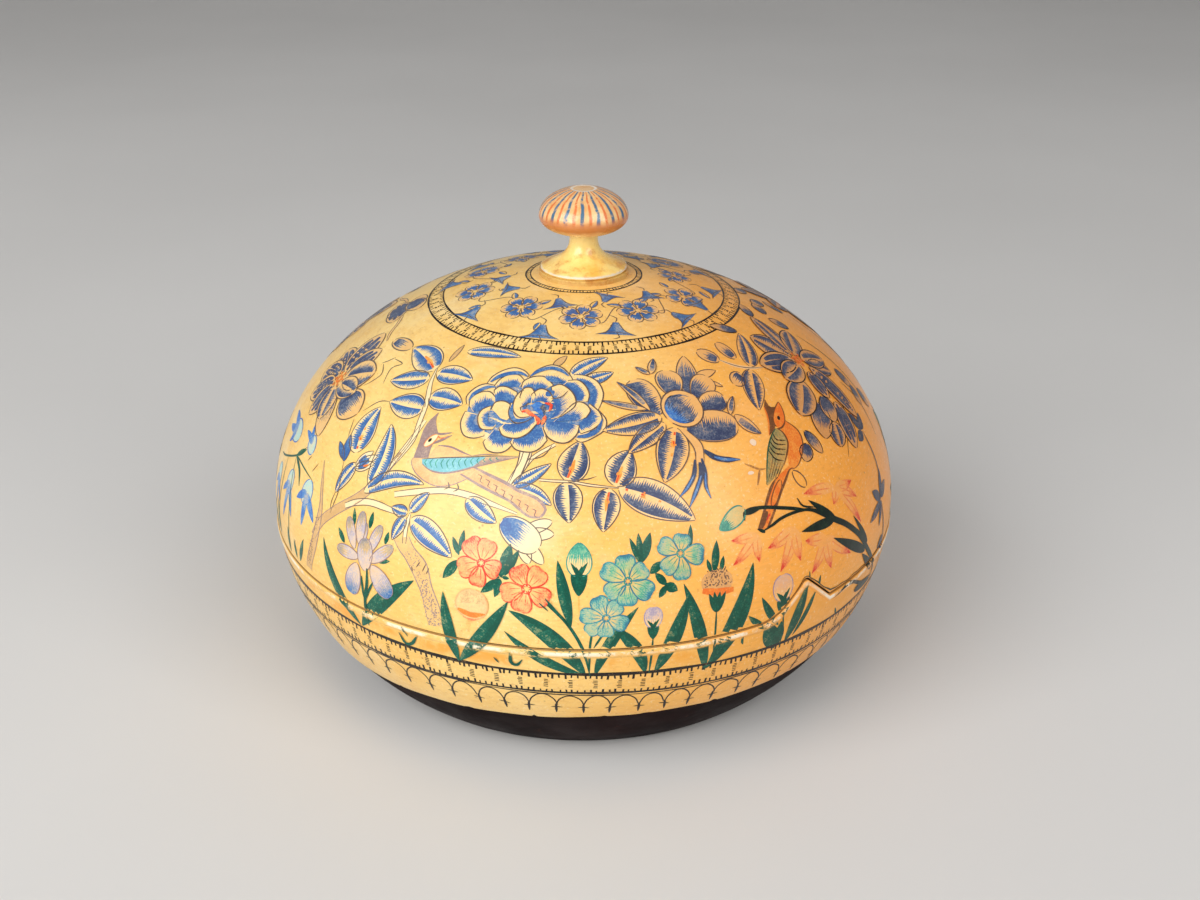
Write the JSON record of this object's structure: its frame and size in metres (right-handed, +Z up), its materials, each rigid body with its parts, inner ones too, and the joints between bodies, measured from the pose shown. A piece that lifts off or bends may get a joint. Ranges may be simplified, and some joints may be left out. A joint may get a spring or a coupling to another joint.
{
  "type": "round lidded box",
  "caption": "Round domed box of painted papier mache with a keyed lift-off lid and a turned finial, for keeping small things.",
  "frame": {"origin": "on the table under the middle of the box", "axes": "+Z up along the axis of the turned form, -Y towards the front of the box, +X to the right seen from the front"},
  "size_m": [0.1504, 0.1504, 0.1134],
  "materials": {
    "black_lacquered_pulp": "black lacquer over smooth paper pulp, satin",
    "painted_ground": "ochre ground with painted flowers and birds under aged varnish, glossy",
    "collar_board": "black lacquered paper ring, satin",
    "painted_wood": "turned wood, painted and varnished, worn at the edges"
  },
  "bodies": {
    "base": {"base_bowl": "black_lacquered_pulp", "base_ground": "painted_ground", "locating_collar": "collar_board"},
    "lid": {"lid_dome": "black_lacquered_pulp", "lid_ground": "painted_ground", "finial": "painted_wood"}
  },
  "joints": [
    {"name": "lid_lift", "type": "slide", "parent": "base", "child": "lid", "axis": [0, 0, 1], "range_m": [0, 0.12]}
  ]
}
